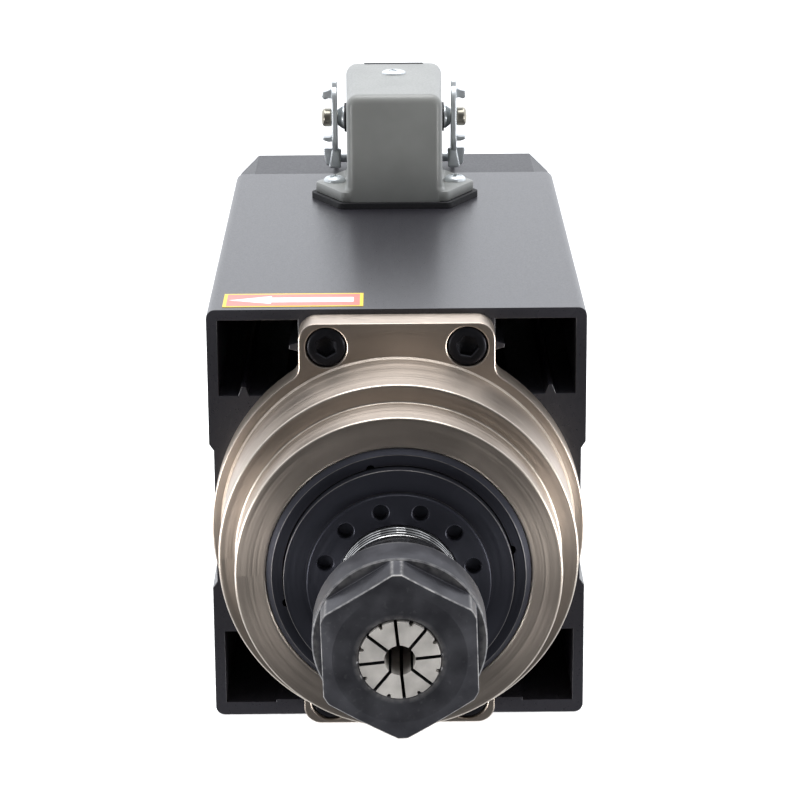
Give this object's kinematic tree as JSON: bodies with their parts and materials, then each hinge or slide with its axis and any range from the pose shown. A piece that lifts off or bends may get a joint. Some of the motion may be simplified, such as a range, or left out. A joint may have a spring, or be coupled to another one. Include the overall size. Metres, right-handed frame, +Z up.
{
  "type": "milling spindle",
  "caption": "Square air-cooled milling spindle: extruded motor body with corner air ducts, round bearing nose, collet with clamping nut, rear fan cowl and a lever-locked power inlet.",
  "frame": {"origin": "on the spindle axis, in the plane of the collet's face, where the tool shank goes in", "axes": "+Y back along the spindle axis from the collet to the fan cowl, +Z up, away from the flat face that rests on the machine, +X to the right when looking along +Y at the collet"},
  "size_m": [0.082, 0.247, 0.1226],
  "materials": {
    "body_grey": "satin blue-grey anodised extrusion",
    "cowl_grey": "satin mid-grey paint",
    "housing_nickel": "satin champagne nickel, fine turned",
    "blued_steel": "blued, near black, worn bright edges",
    "ground_steel": "ground bright steel",
    "collet_steel": "satin ground steel",
    "nut_steel": "dark burnished steel with worn edges",
    "black_screw": "black oxide",
    "zinc_steel": "bright zinc plate",
    "connector_alloy": "die-cast, pale grey paint",
    "rubber_black": "matt black",
    "plastic_black": "moulded, matt black",
    "brass_pin": "bright",
    "peg_alloy": "dull brass-grey",
    "lamination": "stacked electrical steel",
    "winding": "varnished copper wire",
    "cast_alloy": "die-cast, unpainted"
  },
  "bodies": {
    "motor": {"body_extrusion": "body_grey", "front_housing": "housing_nickel", "flange_screws": "black_screw", "bearing_retainer": "blued_steel", "first_bearing_outer_ring": "ground_steel", "second_bearing_outer_ring": "ground_steel", "outer_spacer": "ground_steel", "stator_core": "lamination", "stator_windings": "winding", "rear_end_shield": "cast_alloy", "rear_bearing_outer_ring": "ground_steel", "preload_spring": "ground_steel", "fan_cowl": "cowl_grey", "cowl_screws": "black_screw", "connector_gasket": "rubber_black", "connector_housing": "connector_alloy", "connector_screws": "zinc_steel", "contact_insert": "plastic_black", "contact_pins": "brass_pin", "insert_screw": "zinc_steel", "lever_pegs": "peg_alloy", "peg_washers": "plastic_black", "peg_bushes": "zinc_steel"},
    "rotor": {"spindle_shaft": "ground_steel", "balance_ring": "blued_steel", "first_bearing_inner_ring": "ground_steel", "second_bearing_inner_ring": "ground_steel", "inner_spacer": "ground_steel", "rotor_core": "lamination", "rotor_end_rings": "cast_alloy", "rear_bearing_inner_ring": "ground_steel", "cooling_fan": "plastic_black", "fan_washer": "zinc_steel", "fan_screw": "zinc_steel"},
    "collet": {"collet": "collet_steel"},
    "nut": {"clamping_nut": "nut_steel"},
    "lever": {"locking_lever": "zinc_steel"}
  },
  "joints": [
    {"name": "rotor_turn", "type": "hinge", "parent": "motor", "child": "rotor", "pos_m": [0, 0.064, 0], "axis": [0, -1, 0], "continuous": true},
    {"name": "collet_travel", "type": "slide", "parent": "rotor", "child": "collet", "axis": [0, -1, 0], "range_m": [0, 0.0045]},
    {"name": "nut_turn", "type": "hinge", "parent": "collet", "child": "nut", "pos_m": [0, 0.01, 0], "axis": [0, -1, 0], "range_deg": [0, 1080]},
    {"name": "lever_swing", "type": "hinge", "parent": "motor", "child": "lever", "pos_m": [0, 0.2152, 0.063], "axis": [1, 0, 0], "range_deg": [0, 180]}
  ],
  "couplings": [
    {"joint": "nut_turn", "follows": "collet_travel", "rad_per_m": 4188.8}
  ]
}
